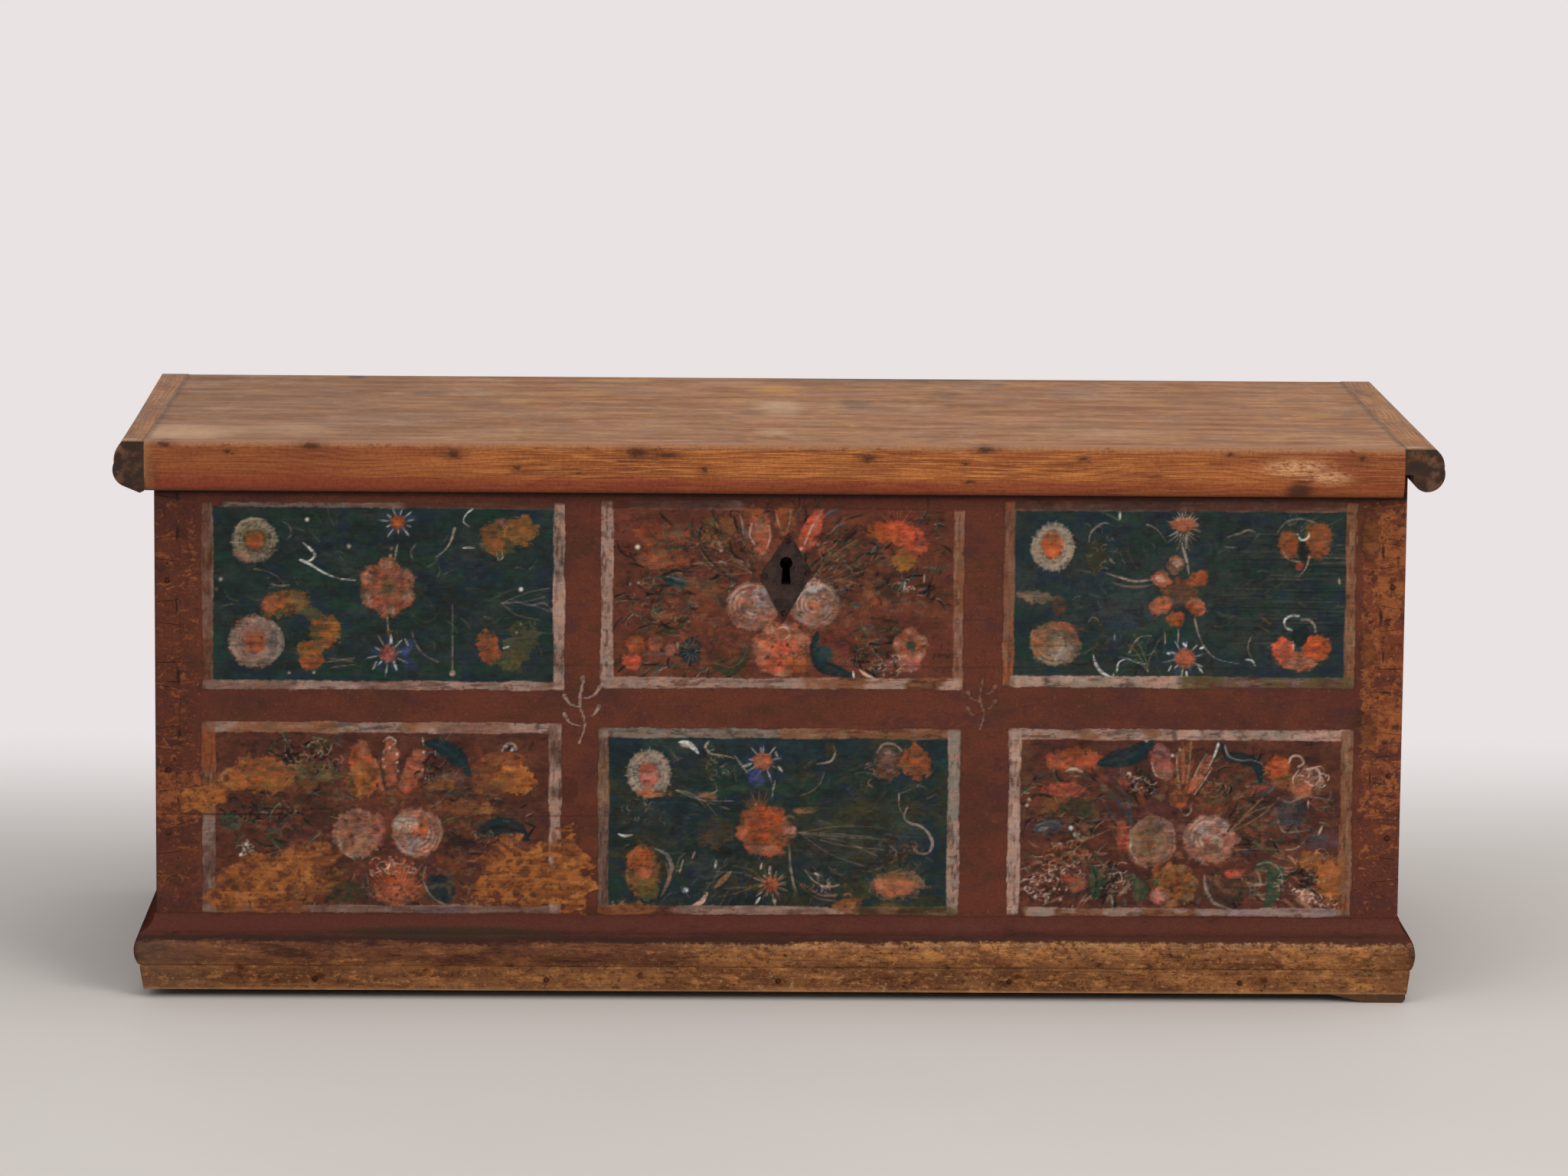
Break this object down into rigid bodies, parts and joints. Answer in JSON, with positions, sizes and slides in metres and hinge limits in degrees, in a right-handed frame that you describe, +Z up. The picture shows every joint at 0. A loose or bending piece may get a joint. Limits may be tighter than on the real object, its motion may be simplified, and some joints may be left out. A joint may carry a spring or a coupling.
{
  "type": "storage chest",
  "caption": "Rectangular lidded pine storage chest with dovetailed corners, plinth moulding, open till, iron strap hinges and a sliding-bolt lock.",
  "frame": {"origin": "on the floor under the centre of the lid", "axes": "+X along the chest to the right seen from the front, -Y towards the painted front, +Z up"},
  "size_m": [1.2431, 0.56, 0.53],
  "materials": {
    "painted_front_pine": "worn oil paint",
    "painted_side_pine": "worn oil paint",
    "bare_pine": "bare aged pine",
    "worn_lid_pine": "worn waxed pine",
    "worn_plinth_pine": "pine with paint worn off",
    "wrought_iron": "dark forged"
  },
  "bodies": {
    "carcass": {"escutcheon": "wrought_iron", "escutcheon_nails": "wrought_iron", "lock_plate": "wrought_iron", "lock_nails": "wrought_iron", "lock_guide_left": "wrought_iron", "lock_guide_right": "wrought_iron", "lock_key_bridge": "wrought_iron", "lock_key_post": "wrought_iron", "lock_spring": "wrought_iron", "hinge_plate_left": "wrought_iron", "hinge_plate_right": "wrought_iron", "hinge_pin_left": "wrought_iron", "hinge_pin_right": "wrought_iron", "hinge_plate_nails": "wrought_iron", "corner_nails": "wrought_iron", "plinth_nails": "wrought_iron", "bottom_nails": "wrought_iron", "front_board_bottom": "painted_front_pine", "front_board_middle": "painted_front_pine", "front_board_top": "painted_front_pine", "left_side_lower": "painted_side_pine", "left_side_upper": "painted_side_pine", "right_side_lower": "painted_side_pine", "right_side_upper": "painted_side_pine", "back_board_lower": "bare_pine", "back_board_upper": "bare_pine", "bottom_board_front": "bare_pine", "bottom_board_middle": "bare_pine", "bottom_board_rear": "bare_pine", "runner_left": "bare_pine", "runner_right": "bare_pine", "runner_pegs": "bare_pine", "till_bottom": "bare_pine", "till_wall": "bare_pine", "plinth_front": "worn_plinth_pine", "plinth_left": "worn_plinth_pine", "plinth_right": "worn_plinth_pine"},
    "lid": {"lid_board_front": "worn_lid_pine", "lid_board_middle": "worn_lid_pine", "lid_board_rear": "worn_lid_pine", "lid_front_moulding": "worn_lid_pine", "lid_cleat_left": "worn_lid_pine", "lid_cleat_right": "worn_lid_pine", "hinge_strap_left": "wrought_iron", "hinge_strap_right": "wrought_iron", "hinge_strap_nails": "wrought_iron", "lock_hasp": "wrought_iron", "hasp_nails": "wrought_iron"},
    "bolt": {"lock_bolt": "wrought_iron"}
  },
  "joints": [
    {"name": "lid_hinge", "type": "hinge", "parent": "carcass", "child": "lid", "pos_m": [0.0025, 0.2665, 0.5], "axis": [-1, 0, 0], "range_deg": [0, 100]},
    {"name": "lock_bolt_slide", "type": "slide", "parent": "carcass", "child": "bolt", "axis": [1, 0, 0], "range_m": [0, 0.012]}
  ]
}
